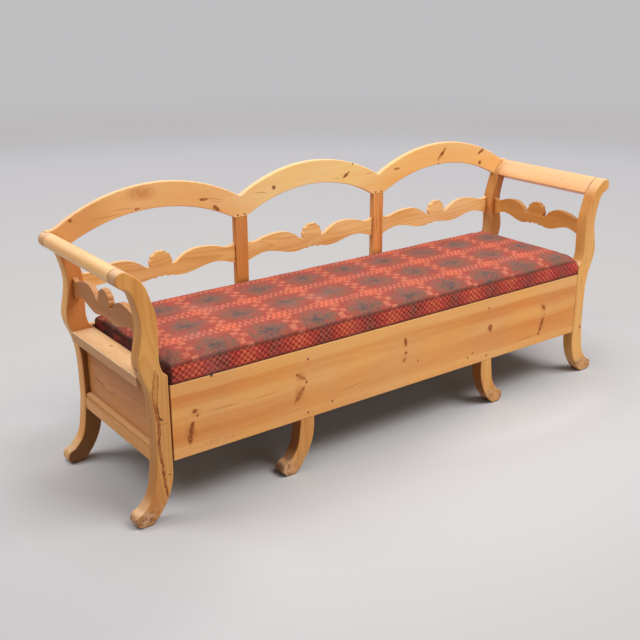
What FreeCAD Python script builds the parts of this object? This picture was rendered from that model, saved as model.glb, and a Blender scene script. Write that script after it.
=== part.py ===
import FreeCAD, Part
import math
import os

os.makedirs("parts", exist_ok=True)

# A pine pull-out bench bed: a box with scrolled plank posts and an arched open back.
# Its front board, on two middle legs, slides forward with half of the bed slats.
# All lengths are in millimetres. X runs along the bench, Y from front to back, Z up.
# The origin is on the floor, under the middle of the bench.

# Box between the posts, and its front board, which sits nearer to the right post
box_length = 1808.0
board_left_gap = 4.0
board_right_gap = 1.5
board_height = 242.0
board_thick = 26.0
board_clear = 189.0
bench_depth = 550.0

# Small roundings, fits and running gaps
arris = 2.5
post_arris = 3.5
fit_gap = 0.2
slide_gap = 0.5
overrun = 5.0
spline_sweeps = 30

# Plank posts, seen from the front: widths and reaches are measured from the inner face
post_thick = 46.0
post_width = 52.0
post_height = 795.0
post_step = 24.0
shoulder_height = 55.0
shoulder_lean = 1.0
scroll_reach = 141.0
scroll_radius = 24.0
scroll_wrap = 60.0
sole_length = 31.0
toe_radius = 24.0
toe_wrap = 75.0
foot_bend_height = 165.0
foot_bend_radius = 217.0

# The arm rail is the top of the scroll, cut off under a sloping line
arm_under_drop = 53.0
arm_under_run = 43.0
arm_under_fall = 20.0

# Box ends
ledge_thick = 34.0
ledge_width = 78.0
end_panel_thick = 18.0
end_panel_inset = 18.0
end_rail_thick = 38.0
end_rail_height = 56.0
end_rail_bead = 18.0
end_rail_quirk = 3.0

# Back: arched top rail, stiles, splats, seat rail and back board
back_rail_thick = 22.0
back_rail_drop = 55.0
valley_rise = 20.0
peak_rise = 109.0
arch_rise = 79.0
end_peak_offset = 328.0
rail_end_reach = 122.0
rail_end_rise = 2.5
hollow_radius = 55.0
stile_width = 51.0
stile_offset = 315.0
stile_thick = 23.0
tenon_thick = 8.0
tenon_shoulder = 5.0
tenon_length = 28.0
back_board_thick = 20.0

# Wavy splats with a scalloped crest
splat_thick = 16.0
arm_splat_thick = 18.0
splat_band = 84.0
splat_rise_share = 0.39
arm_splat_drop = 3.0
crest_radius = 38.0
crest_lift = 8.0
crest_lobes = 6
crest_lobe_depth = 4.0
notch_half = 36.0
notch_lobes = 3
notch_lobe_depth = 5.0

# Pegs
peg_radius = 4.0
peg_depth = 40.0
rail_peg_radius = 3.5
rail_peg_rise = 8.0
rail_peg_spread = 14.0
leg_peg_top_drop = 36.0
leg_peg_low_rise = 19.0
rail_pin_offset = 312.0
rail_pin_rise = 32.0

# Middle legs, lapped behind the front board
leg_width = 50.0
leg_inner = 385.0
leg_sole_length = 24.0
leg_top_drop = 26.0
leg_notch_gap = 4.0

# Seat lid, and the rail and cleat that carry it
lid_thick = 20.0
lid_gap = 2.0
lid_end_gap = 4.0
lid_batten_width = 60.0
lid_batten_thick = 20.0
lid_batten_offset = 600.0
inner_rail_gap = 4.0
lid_rail_thick = 26.0
lid_rail_height = 40.0
lid_cleat_thick = 20.0
lid_cleat_height = 26.0

# Slats and what they lie on
slat_thick = 15.0
slat_gap = 12.0
fixed_slats = 7
slat_bed_rise = 43.0
bearer_height = 35.0
front_bearer_depth = 40.0
back_bearer_depth = 30.0
slat_rail_depth = 20.0
slat_rail_height = 30.0
guide_height = 30.0
slat_end_gap = 6.0

# Sides of the pull-out, and the blocks that stop it
side_thick = 18.0
side_height = 132.0
side_gap = 6.0
stop_rest_gap = 6.5
stop_length = 28.0
stop_width = 70.0
stop_height = 26.0

# Seat cushion
cushion_height = 72.0
cushion_crown = 8.0
cushion_gap = 0.3
cushion_end_gap = 2.5
cushion_front_gap = 2.0
cushion_back_gap = 2.0
cushion_bulge = 5.0
cushion_pull = 5.0
cushion_end_round = 16.0

# Shares of a post's outline: how far out, then how high, on the way up its inner side
shoulder_shares = [(0.58, 0.24), (0.88, 0.58)]
upper_inner_shares = [(-0.02, 0.29), (-0.012, 0.42), (0.034, 0.54), (0.12, 0.655),
                      (0.256, 0.815), (0.393, 0.89), (0.59, 0.96)]
# The same on the way down its outer side, from under the scroll to the box
upper_outer_shares = [(0.652, 0.933), (0.404, 0.883), (0.255, 0.782), (0.382, 0.696), (0.433, 0.648),
                      (0.348, 0.604), (0.124, 0.536), (0.02, 0.46)]
belly_end_share = 0.39
# And down the outer side of a foot to its toe
foot_outer_shares = [(0.0, 1.45), (0.037, 1.18), (0.11, 0.88), (0.21, 0.63), (0.346, 0.485), (0.53, 0.376)]

# Shares of half a splat: along it from the crest outward, then up its band
splat_top_shares = [(0.0, 0.555), (0.058, 0.54), (0.129, 0.68), (0.227, 0.86), (0.345, 0.97), (0.462, 1.0),
                    (0.639, 0.95), (0.757, 0.87), (0.86, 0.785), (0.933, 0.8), (1.0, 0.88)]
splat_low_shares = [(0.0, 0.08), (0.164, 0.0), (0.328, 0.06), (0.516, 0.2), (0.688, 0.26),
                    (0.855, 0.17), (1.0, 0.01)]

# Shares of the cushion's half length, with how much of its crown and height each place has
cushion_station_shares = [(1.0, 0.0, 0.72), (0.991, 0.05, 0.93), (0.97, 0.2, 1.0), (0.9, 0.55, 1.0),
                          (0.6, 0.95, 1.0), (0.0, 1.0, 1.0)]

# Places worked out from the sizes above
front_y = -bench_depth / 2
back_y = bench_depth / 2
seat_z = board_clear + board_height
ledge_top = seat_z + ledge_thick
post_x = box_length / 2
board_left = -post_x + board_left_gap
board_right = post_x - board_right_gap
post_front_back = front_y + post_thick
post_back_front = back_y - post_thick
board_back = front_y + board_thick
leg_back = front_y + post_thick
rail_front = back_y - back_rail_thick
back_board_front = back_y - back_board_thick
rail_seat_z = post_height - back_rail_drop
lid_low = seat_z - lid_thick
bed_z = board_clear + slat_bed_rise
move_z = bed_z + slide_gap
inner_rail_front = post_front_back + inner_rail_gap
bearer_back = inner_rail_front + front_bearer_depth
end_rail_x = post_x + post_width - end_rail_thick
panel_x = post_x + post_width - end_panel_inset - end_panel_thick
side_x = post_x - side_gap - side_thick
splat_low_z = ledge_top + splat_rise_share * (rail_seat_z - ledge_top)


def at(x, y, z):
    return FreeCAD.Vector(x, y, z)


def box(x0, x1, y0, y1, z0, z1):
    return Part.makeBox(x1 - x0, y1 - y0, z1 - z0, at(x0, y0, z0))


def mirrored(shape):
    return shape.mirror(at(0, 0, 0), at(1, 0, 0))


def curve(points):
    spline = Part.BSplineCurve()
    spline.interpolate(points)
    return spline.toShape()


def tangent_curve(points, start, end):
    # a smooth curve through the points that leaves and arrives in the two given directions
    last = len(points) - 1
    gaps = [(b - a).Length for a, b in zip(points, points[1:])]
    speeds = [start] + [(b - a).normalize() for a, b in zip(points, points[1:])][:-1] + [end]
    for sweep in range(spline_sweeps):
        for i in range(1, last):
            before, after = gaps[i - 1], gaps[i]
            pull = (points[i + 1] - points[i]) * (3 * before / after)
            pull += (points[i] - points[i - 1]) * (3 * after / before)
            speeds[i] = (pull - speeds[i - 1] * after - speeds[i + 1] * before) / (2 * (before + after))
    poles = [points[0]]
    knots = [0.0]
    for i, gap in enumerate(gaps):
        poles += [points[i] + speeds[i] * (gap / 3), points[i + 1] - speeds[i + 1] * (gap / 3)]
        knots.append(knots[-1] + gap)
    poles.append(points[-1])
    spline = Part.BSplineCurve()
    spline.buildFromPolesMultsKnots(poles, [4] + [2] * (last - 1) + [4], knots, False, 3)
    return spline.toShape()


def line(a, b):
    return Part.makeLine(a, b)


def arc(a, b, c):
    return Part.Arc(a, b, c).toShape()


def round_arc(centre_x, centre_z, radius, start, end):
    def rim(angle):
        turn = math.radians(angle)
        return at(centre_x + radius * math.cos(turn), 0, centre_z + radius * math.sin(turn))
    return arc(rim(start), rim((start + end) / 2), rim(end))


def plank(edges, y0, y1):
    face = Part.Face(Part.Wire(Part.__sortEdges__(edges)))
    face.translate(at(0, y0, 0))
    return face.extrude(at(0, y1 - y0, 0))


def on_faces(solid, y_values):
    # the edges that lie in one of the planes across Y
    def flat(edge):
        box_of = edge.BoundBox
        return any(abs(box_of.YMin - y) + abs(box_of.YMax - y) < fit_gap for y in y_values)
    return [edge for edge in solid.Edges if flat(edge)]


def softened(solid, y_values, radius):
    return solid.makeFillet(radius, on_faces(solid, y_values))


def eased_box(x0, x1, y0, y1, z0, z1):
    solid = box(x0, x1, y0, y1, z0, z1)
    return solid.makeFillet(arris, solid.Edges)


def foot_edges(inner_x, width, sole_run):
    # inner bend, sole, toe and the outer side up to where it runs straight; X grows outward
    spring = math.sqrt(foot_bend_radius ** 2 - foot_bend_height ** 2)
    sole_x = inner_x + foot_bend_radius - spring
    half_turn = math.asin(foot_bend_height / foot_bend_radius) / 2
    bend_x = inner_x + foot_bend_radius * (1 - math.cos(half_turn))
    bend_z = foot_bend_height - foot_bend_radius * math.sin(half_turn)
    toe_x = sole_x + sole_run
    reach = toe_x + toe_radius - inner_x
    bend = arc(at(inner_x, 0, foot_bend_height), at(bend_x, 0, bend_z), at(sole_x, 0, 0))
    sole = line(at(sole_x, 0, 0), at(toe_x, 0, 0))
    toe = round_arc(toe_x, toe_radius, toe_radius, -90.0, toe_wrap)
    points = [at(inner_x + width + out * (reach - width), 0, up * foot_bend_height)
              for out, up in foot_outer_shares]
    top = toe.Vertexes[1].Point
    turn = math.radians(toe_wrap)
    down = at(math.sin(turn), 0, -math.cos(turn))
    outer = tangent_curve(points + [top], at(0, 0, -1), down)
    return [bend, sole, toe, outer], points[0]


def post_edges():
    step_z = ledge_top + shoulder_height
    scroll_x = post_x + scroll_reach - scroll_radius
    scroll_z = post_height - scroll_radius
    foot, outer_foot = foot_edges(post_x, post_width, sole_length)
    inner_line = line(at(post_x, 0, foot_bend_height), at(post_x, 0, ledge_top))
    shoulder = [at(post_x, 0, ledge_top)]
    shoulder += [at(post_x + out * post_step, 0, ledge_top + up * shoulder_height)
                 for out, up in shoulder_shares]
    shoulder += [at(post_x + post_step, 0, step_z)]
    upper = [at(post_x + post_step, 0, step_z)]
    upper += [at(post_x + post_step + out * (scroll_reach - post_step), 0, step_z + up * (post_height - step_z))
              for out, up in upper_inner_shares]
    upper += [at(scroll_x, 0, post_height)]
    scroll = round_arc(scroll_x, scroll_z, scroll_radius, 90.0, -scroll_wrap)
    under = scroll.Vertexes[1].Point
    turn = math.radians(scroll_wrap)
    outer = [under]
    outer += [at(post_x + post_width + out * (scroll_reach - post_width), 0, up * post_height)
              for out, up in upper_outer_shares]
    outer += [at(post_x + post_width, 0, belly_end_share * post_height)]
    curl = at(-math.sin(turn), 0, -math.cos(turn))
    return foot + [
        inner_line,
        tangent_curve(shoulder, at(shoulder_lean, 0, 1).normalize(), at(0, 0, 1)),
        tangent_curve(upper, at(0, 0, 1), at(1, 0, 0)),
        scroll,
        tangent_curve(outer, curl, at(0, 0, -1)),
        line(at(post_x + post_width, 0, belly_end_share * post_height), outer_foot),
    ]


def post(y0, y1):
    return softened(plank(post_edges(), y0, y1), [y0, y1], post_arris)


def plain_post(y0, y1, shift):
    shape = plank(post_edges(), y0, y1)
    shape.translate(at(-shift, 0, 0))
    return shape


def arm_rail():
    # the scroll above a line that slopes down outward under the arm
    low_z = post_height - arm_under_drop
    start_x = post_x + post_width
    slope = arm_under_fall / arm_under_run
    left_x = post_x
    right_x = post_x + scroll_reach + overrun
    left_z = low_z + slope * (start_x - left_x)
    right_z = low_z - slope * (right_x - start_x)
    top_z = post_height + overrun
    corners = [at(left_x, 0, left_z), at(right_x, 0, right_z), at(right_x, 0, top_z), at(left_x, 0, top_z)]
    keep = Part.makePolygon(corners + corners[:1])
    block = Part.Face(keep)
    block.translate(at(0, post_front_back, 0))
    block = block.extrude(at(0, post_back_front - post_front_back, 0))
    rail = plank(post_edges(), post_front_back, post_back_front).common(block).Solids[0]
    # ease the two long edges where the underside meets the faces
    long_edges = [edge for edge in rail.Edges
                  if edge.BoundBox.YLength > post_thick and edge.BoundBox.ZMax < post_height - scroll_radius]
    sharp = [edge for edge in long_edges
             if abs(edge.BoundBox.ZMax - low_z + slope * (edge.BoundBox.XMax - start_x)) < arris]
    return rail.makeFillet(arris, sharp)


def scallops(lobes, place, depth):
    # arcs that bulge out by depth between points that follow place, a function of a share from 0 to 1
    edges = []
    for index in range(lobes):
        first, middle, last = [place(step / lobes) for step in (index, index + 0.5, index + 1)]
        out = at(-(last.z - first.z), 0, last.x - first.x).normalize()
        edges.append(arc(first, middle + out * depth, last))
    return edges


def splat(centre_x, half, y0, y1):
    # a wavy band with small lobes cut in under its middle, and a scalloped crest on top
    def band_point(side, start, share):
        out, up = share
        return at(centre_x + side * (start + out * (half - start)), 0, splat_low_z + up * splat_band)

    def notch_at(share):
        rise = 4 * share * (1 - share) * notch_lobe_depth
        return at(centre_x + notch_half * (1 - 2 * share), 0, notch_z + rise)

    def crest_at(share):
        # points of a circle whose middle lies a little above the band
        turn = (math.pi + 2 * crest_sink) * share - crest_sink
        height = valley_z + crest_lift + crest_radius * math.sin(turn)
        return at(centre_x - crest_radius * math.cos(turn), 0, height)

    crest_sink = math.asin(crest_lift / crest_radius)
    crest_half = crest_radius * math.cos(crest_sink)
    edges = []
    for side in (-1, 1):
        top = [band_point(side, crest_half, share) for share in splat_top_shares]
        low = [band_point(side, notch_half, share) for share in splat_low_shares]
        edges += [curve(top), curve(low), line(top[-1], low[-1])]
    valley_z = top[0].z
    notch_z = low[0].z
    edges += scallops(notch_lobes, notch_at, notch_lobe_depth)
    edges += scallops(crest_lobes, crest_at, crest_lobe_depth)
    return plank(edges, y0, y1)


def back_splat(centre_x, half):
    return splat(centre_x, half, back_y - splat_thick, back_y)


def arm_splat():
    half = (post_back_front - post_front_back) / 2
    middle = post_x + (post_step + post_width + post_step) / 2
    solid = splat(0, half, -arm_splat_thick / 2, arm_splat_thick / 2)
    solid.rotate(at(0, 0, 0), at(0, 0, 1), 90)
    solid.translate(at(middle, (post_front_back + post_back_front) / 2, -arm_splat_drop))
    return solid


def stile_holes(radius):
    holes = []
    for side in (-1, 1):
        for offset in (-rail_peg_spread, rail_peg_spread):
            base = at(side * stile_offset + offset, rail_front - overrun, rail_seat_z + rail_peg_rise)
            holes.append(Part.makeCylinder(radius, back_rail_thick + 2 * overrun, base, at(0, 1, 0)))
    return Part.makeCompound(holes)


def stile_tenon(centre_x, z0, z1):
    half = stile_width / 2 - tenon_shoulder
    middle = back_y - stile_thick / 2
    return box(centre_x - half, centre_x + half, middle - tenon_thick / 2, middle + tenon_thick / 2, z0, z1)


def back_top_rail():
    inner = stile_offset - stile_width / 2
    outer = stile_offset + stile_width / 2
    end = post_x + rail_end_reach
    valley_z = post_height + valley_rise
    peak_z = post_height + peak_rise
    arch_z = rail_seat_z + arch_rise
    end_z = post_height + rail_end_rise
    # each outer arch runs into a small hollow that ends level on top of the post's scroll
    arch_run = end_peak_offset
    arch_drop = peak_z - valley_z
    arch_radius = (arch_run ** 2 + arch_drop ** 2) / (2 * arch_drop)
    arch_x = stile_offset + arch_run
    middle_z = peak_z - arch_radius
    hollow_z = end_z + hollow_radius
    reach = arch_radius + hollow_radius
    hollow_x = arch_x + math.sqrt(reach ** 2 - (hollow_z - middle_z) ** 2)
    lean = math.degrees(math.atan2(hollow_z - middle_z, hollow_x - arch_x))
    spread = math.degrees(math.asin(arch_run / arch_radius))
    foot_x = post_x + post_width + overrun
    half = [
        line(at(inner, 0, rail_seat_z), at(outer, 0, rail_seat_z)),
        arc(at(outer, 0, rail_seat_z), at((outer + foot_x) / 2, 0, arch_z), at(foot_x, 0, rail_seat_z)),
        line(at(foot_x, 0, rail_seat_z), at(end, 0, rail_seat_z)),
        line(at(end, 0, rail_seat_z), at(end, 0, end_z)),
        line(at(end, 0, end_z), at(hollow_x, 0, end_z)),
        round_arc(hollow_x, hollow_z, hollow_radius, 180.0 + lean, 270.0),
        round_arc(arch_x, middle_z, arch_radius, lean, 90.0 + spread),
    ]
    edges = half + [mirrored(edge) for edge in half]
    edges.append(arc(at(-inner, 0, rail_seat_z), at(0, 0, arch_z), at(inner, 0, rail_seat_z)))
    edges.append(arc(at(-stile_offset, 0, valley_z), at(0, 0, peak_z), at(stile_offset, 0, valley_z)))
    rail = softened(plank(edges, rail_front, back_y), [rail_front, back_y], arris)
    for shift in (0, fit_gap):
        cutter = plain_post(post_back_front, back_y + overrun, shift)
        rail = rail.cut(cutter).cut(mirrored(cutter))
    for side in (-1, 1):
        rail = rail.cut(stile_tenon(side * stile_offset, rail_seat_z - overrun, rail_seat_z + tenon_length))
    rail = rail.cut(stile_holes(rail_peg_radius + fit_gap))
    return max(rail.Solids, key=lambda solid: solid.Volume)


def back_stile(side):
    centre = side * stile_offset
    y0 = back_y - stile_thick
    body = box(centre - stile_width / 2, centre + stile_width / 2, y0, back_y, ledge_top, rail_seat_z)
    upright = [edge for edge in body.Edges if edge.BoundBox.ZLength > stile_width]
    body = body.makeFillet(arris, upright)
    top = stile_tenon(centre, rail_seat_z - overrun, rail_seat_z + tenon_length)
    low = stile_tenon(centre, ledge_top - tenon_length + arris, ledge_top + overrun)
    return body.fuse([top, low]).removeSplitter().cut(stile_holes(rail_peg_radius + fit_gap)).Solids[0]


def back_seat_rail():
    rail = box(-post_x, post_x, rail_front, back_y, seat_z, ledge_top)
    for side in (-1, 1):
        rail = rail.cut(stile_tenon(side * stile_offset, ledge_top - tenon_length + arris, ledge_top + overrun))
    return rail


def end_ledge():
    ledge = box(post_x, post_x + ledge_width, post_front_back, post_back_front, seat_z, ledge_top)
    return ledge.makeFillet(arris, [edge for edge in ledge.Edges if edge.BoundBox.YLength > ledge_width])


def end_bottom_rail():
    # flat face below, then a small step in and a quarter round up to the panel
    low = board_clear
    top = board_clear + end_rail_height
    face_x = post_x + post_width
    bead_z = top - end_rail_bead
    bead_x = face_x - end_rail_quirk
    bead_radius = end_rail_bead - end_rail_quirk
    edges = [
        line(at(end_rail_x, 0, top), at(end_rail_x, 0, low)),
        line(at(end_rail_x, 0, low), at(face_x, 0, low)),
        line(at(face_x, 0, low), at(face_x, 0, bead_z)),
        line(at(face_x, 0, bead_z), at(bead_x, 0, bead_z)),
        line(at(bead_x, 0, bead_z), at(bead_x, 0, top - bead_radius)),
        round_arc(bead_x - bead_radius, top - bead_radius, bead_radius, 0, 90.0),
        line(at(bead_x - bead_radius, 0, top), at(end_rail_x, 0, top)),
    ]
    return plank(edges, post_front_back, post_back_front)


def board_holes(radius):
    spots = []
    for side in (-1, 1):
        leg_middle = side * (leg_inner + leg_width / 2)
        spots.append((leg_middle, seat_z - leg_peg_top_drop))
        spots.append((leg_middle, board_clear + leg_peg_low_rise))
        spots.append((side * rail_pin_offset, board_clear + rail_pin_rise))
    return [Part.makeCylinder(radius, peg_depth, at(x, front_y, z), at(0, 1, 0)) for x, z in spots]


def front_board():
    board = eased_box(board_left, board_right, front_y, board_back, board_clear, seat_z)
    return board.cut(Part.makeCompound(board_holes(peg_radius + fit_gap)))


def middle_leg():
    # drawn on the +X side: a scrolled foot, and a lap behind the board
    top = seat_z - leg_top_drop
    foot, outer_foot = foot_edges(leg_inner, leg_width, leg_sole_length)
    outer_x = leg_inner + leg_width
    edges = foot + [
        line(at(leg_inner, 0, foot_bend_height), at(leg_inner, 0, top)),
        line(at(leg_inner, 0, top), at(outer_x, 0, top)),
        line(at(outer_x, 0, top), outer_foot),
    ]
    leg = softened(plank(edges, front_y, leg_back), [front_y, leg_back], arris)
    lap = box(leg_inner - overrun, outer_x + overrun, front_y - overrun, board_back, board_clear, seat_z)
    leg = leg.cut(lap)
    return leg.cut(Part.makeCompound(board_holes(peg_radius + fit_gap)))


def slat_rail(x0, x1):
    rail = box(x0, x1, board_back, board_back + slat_rail_depth, move_z - slat_rail_height, move_z)
    return rail.cut(Part.makeCompound(board_holes(peg_radius + fit_gap)))


def slat_places():
    count = 2 * fixed_slats - 1
    pitch = (2 * side_x - slat_gap) / count
    width = pitch - slat_gap
    places = [(index - (count - 1) / 2) * pitch for index in range(count)]
    return places[0::2], places[1::2], width


def moving_slat(centre_x, width):
    back = back_board_front - slat_end_gap
    slat = box(centre_x - width / 2, centre_x + width / 2, board_back, back, move_z, move_z + slat_thick)
    for side in (-1, 1):
        middle = side * (leg_inner + leg_width / 2)
        half = leg_width / 2 + leg_notch_gap
        slat = slat.cut(box(middle - half, middle + half, board_back, leg_back, move_z, move_z + slat_thick))
    return slat.Solids[0]


def stop_block(centre_x):
    # it lies just before the back bearer at rest, and meets the front bearer when pulled out
    y1 = back_board_front - back_bearer_depth - stop_rest_gap
    return box(centre_x - stop_width / 2, centre_x + stop_width / 2, y1 - stop_length, y1,
               move_z - stop_height, move_z)


def cushion():
    half = post_x - cushion_end_gap
    y_front = front_y + cushion_front_gap
    y_back = rail_front - cushion_back_gap
    low = seat_z + cushion_gap
    wires = []

    def section(x, crown_share, height_share):
        # the long sides are drawn in towards the middle of the bench, and bulge out between seams
        end_share = abs(x) / half
        pull = cushion_pull * (1 - end_share ** 2)
        inset = cushion_end_round * (1 - height_share)
        front = y_front + pull + inset + cushion_bulge
        back = y_back - pull - inset - cushion_bulge
        edge_z = low + cushion_height * height_share
        middle_z = (low + edge_z) / 2
        top_z = edge_z + cushion_crown * crown_share + cushion_gap
        bulge = cushion_bulge * height_share
        corners = [at(x, front, low), at(x, back, low), at(x, back, edge_z), at(x, front, edge_z)]
        edges = [
            line(corners[0], corners[1]),
            arc(corners[1], at(x, back + bulge, middle_z), corners[2]),
            arc(corners[2], at(x, (front + back) / 2, top_z), corners[3]),
            arc(corners[3], at(x, front - bulge, middle_z), corners[0]),
        ]
        return Part.Wire(edges)

    for share, crown_share, height_share in cushion_station_shares[:-1]:
        wires.append(section(-half * share, crown_share, height_share))
    for share, crown_share, height_share in reversed(cushion_station_shares):
        wires.append(section(half * share, crown_share, height_share))
    return Part.makeLoft(wires, True, True)


nodes = {}


def pair(name, right):
    nodes[name + "_right"] = right
    nodes[name + "_left"] = mirrored(right)


# Fixed frame: posts, arms and box ends
pair("post_front", post(front_y, post_front_back))
pair("post_back", post(post_back_front, back_y))
pair("arm_rail", arm_rail())
pair("arm_splat", arm_splat())
pair("end_ledge", end_ledge())
pair("end_panel", box(panel_x, panel_x + end_panel_thick, post_front_back, post_back_front,
                      board_clear + end_rail_height, seat_z))
pair("end_bottom_rail", end_bottom_rail())

# Back
nodes["back_top_rail"] = back_top_rail()
nodes["back_stile_left"] = back_stile(-1)
nodes["back_stile_right"] = back_stile(1)
bay_inner = stile_offset + stile_width / 2
bay_outer = post_x + post_step
end_splat = back_splat((bay_inner + bay_outer) / 2, (bay_outer - bay_inner) / 2)
pair("back_splat", end_splat.cut(plain_post(post_back_front, back_y + overrun, fit_gap)).Solids[0])
nodes["back_splat_middle"] = back_splat(0, stile_offset - stile_width / 2)
nodes["back_seat_rail"] = back_seat_rail()
nodes["back_board"] = box(-post_x, post_x, back_board_front, back_y, board_clear, seat_z)
nodes["back_rail_pegs"] = stile_holes(rail_peg_radius).common(
    box(-post_x, post_x, rail_front, back_y, rail_seat_z, post_height))

# Inside the box: what carries the lid and the slats
nodes["front_lid_rail"] = box(-panel_x, panel_x, inner_rail_front, inner_rail_front + lid_rail_thick,
                              lid_low - lid_rail_height, lid_low)
nodes["back_lid_cleat"] = box(-post_x, post_x, back_board_front - lid_cleat_thick, back_board_front,
                              lid_low - lid_cleat_height, lid_low)
nodes["front_slat_bearer"] = box(-end_rail_x, end_rail_x, inner_rail_front, bearer_back,
                                 bed_z - bearer_height, bed_z)
nodes["back_slat_bearer"] = box(-post_x, post_x, back_board_front - back_bearer_depth, back_board_front,
                                bed_z - bearer_height, bed_z)
guide_x = side_x + side_thick + slide_gap
pair("side_guide", box(guide_x, end_rail_x, inner_rail_front, post_back_front, bed_z, bed_z + guide_height))
fixed_places, moving_places, slat_width = slat_places()
for number, place in enumerate(fixed_places, 1):
    nodes["fixed_slat_%d" % number] = box(place - slat_width / 2, place + slat_width / 2,
                                          inner_rail_front, back_board_front, bed_z, bed_z + slat_thick)

# Pull-out front
nodes["front_board"] = front_board()
pair("middle_leg", middle_leg())
nodes["slat_rail_middle"] = slat_rail(-leg_inner, leg_inner)
pair("slat_rail", slat_rail(leg_inner + leg_width + leg_notch_gap, side_x + side_thick))
pair("pull_out_side", box(side_x, side_x + side_thick, board_back, back_board_front - slat_end_gap,
                          move_z, move_z + side_height))
for number, place in enumerate(moving_places, 1):
    nodes["moving_slat_%d" % number] = moving_slat(place, slat_width)
nodes["slat_stops"] = Part.makeCompound([stop_block(moving_places[0]), stop_block(moving_places[-1])])
nodes["board_pegs"] = Part.makeCompound(board_holes(peg_radius))

# Seat lid and cushion
lid_half = post_x - lid_end_gap
lid_front = board_back + lid_gap
lid_back = rail_front - lid_gap
lid_middle = (lid_front + lid_back) / 2
nodes["lid_board_front"] = box(-lid_half, lid_half, lid_front, lid_middle - lid_gap / 2, lid_low, seat_z)
nodes["lid_board_back"] = box(-lid_half, lid_half, lid_middle + lid_gap / 2, lid_back, lid_low, seat_z)
batten_front = inner_rail_front + lid_rail_thick + lid_gap
batten_back = back_board_front - lid_cleat_thick - lid_gap
for name, place in (("left", -lid_batten_offset), ("middle", 0), ("right", lid_batten_offset)):
    nodes["lid_batten_" + name] = box(place - lid_batten_width / 2, place + lid_batten_width / 2,
                                      batten_front, batten_back, lid_low - lid_batten_thick, lid_low)
nodes["seat_cushion"] = cushion()

for name in nodes:
    nodes[name].exportStep("parts/" + name + ".step")
    print(name, len(nodes[name].Solids), nodes[name].isValid(), round(nodes[name].Volume))
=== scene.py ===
import math
from functools import partial
import bmesh
import bpy
from mathutils import Matrix, Vector, noise


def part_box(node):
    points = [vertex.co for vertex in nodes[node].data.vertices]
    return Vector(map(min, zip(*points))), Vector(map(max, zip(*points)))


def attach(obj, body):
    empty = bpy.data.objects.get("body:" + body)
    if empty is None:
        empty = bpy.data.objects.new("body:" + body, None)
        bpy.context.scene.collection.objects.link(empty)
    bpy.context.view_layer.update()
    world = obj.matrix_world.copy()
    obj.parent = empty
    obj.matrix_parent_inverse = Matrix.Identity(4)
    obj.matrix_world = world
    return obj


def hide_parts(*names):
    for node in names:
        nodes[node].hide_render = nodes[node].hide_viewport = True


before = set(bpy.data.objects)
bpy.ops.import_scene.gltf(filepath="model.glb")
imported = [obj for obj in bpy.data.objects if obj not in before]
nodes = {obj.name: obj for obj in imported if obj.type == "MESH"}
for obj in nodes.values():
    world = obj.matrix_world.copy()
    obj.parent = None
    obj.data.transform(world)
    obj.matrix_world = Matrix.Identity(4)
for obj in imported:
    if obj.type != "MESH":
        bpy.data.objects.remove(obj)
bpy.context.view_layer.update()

scene = bpy.context.scene

# Places of marks are in mm. These are the faces that they lie on.
BOARD_FACE = -262
POST_FACE = -275
BACK_FACE = 260
PANEL_FACE = 938
# The inner faces of the posts lie this far from the middle, and rails and ledges meet them in a dark line.
POST_SIDE = 229
# Half the depth of a mark that reaches through the whole piece.
THROUGH = 300


def srgb(r, g, b):
    """A colour as it looks on screen, turned into linear values."""
    def lin(c):
        c = c / 255
        return c / 12.92 if c <= 0.04045 else ((c + 0.055) / 1.055) ** 2.4
    return (lin(r), lin(g), lin(b), 1.0)


def mm(*values):
    return tuple(v / 1000 for v in values)


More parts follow.
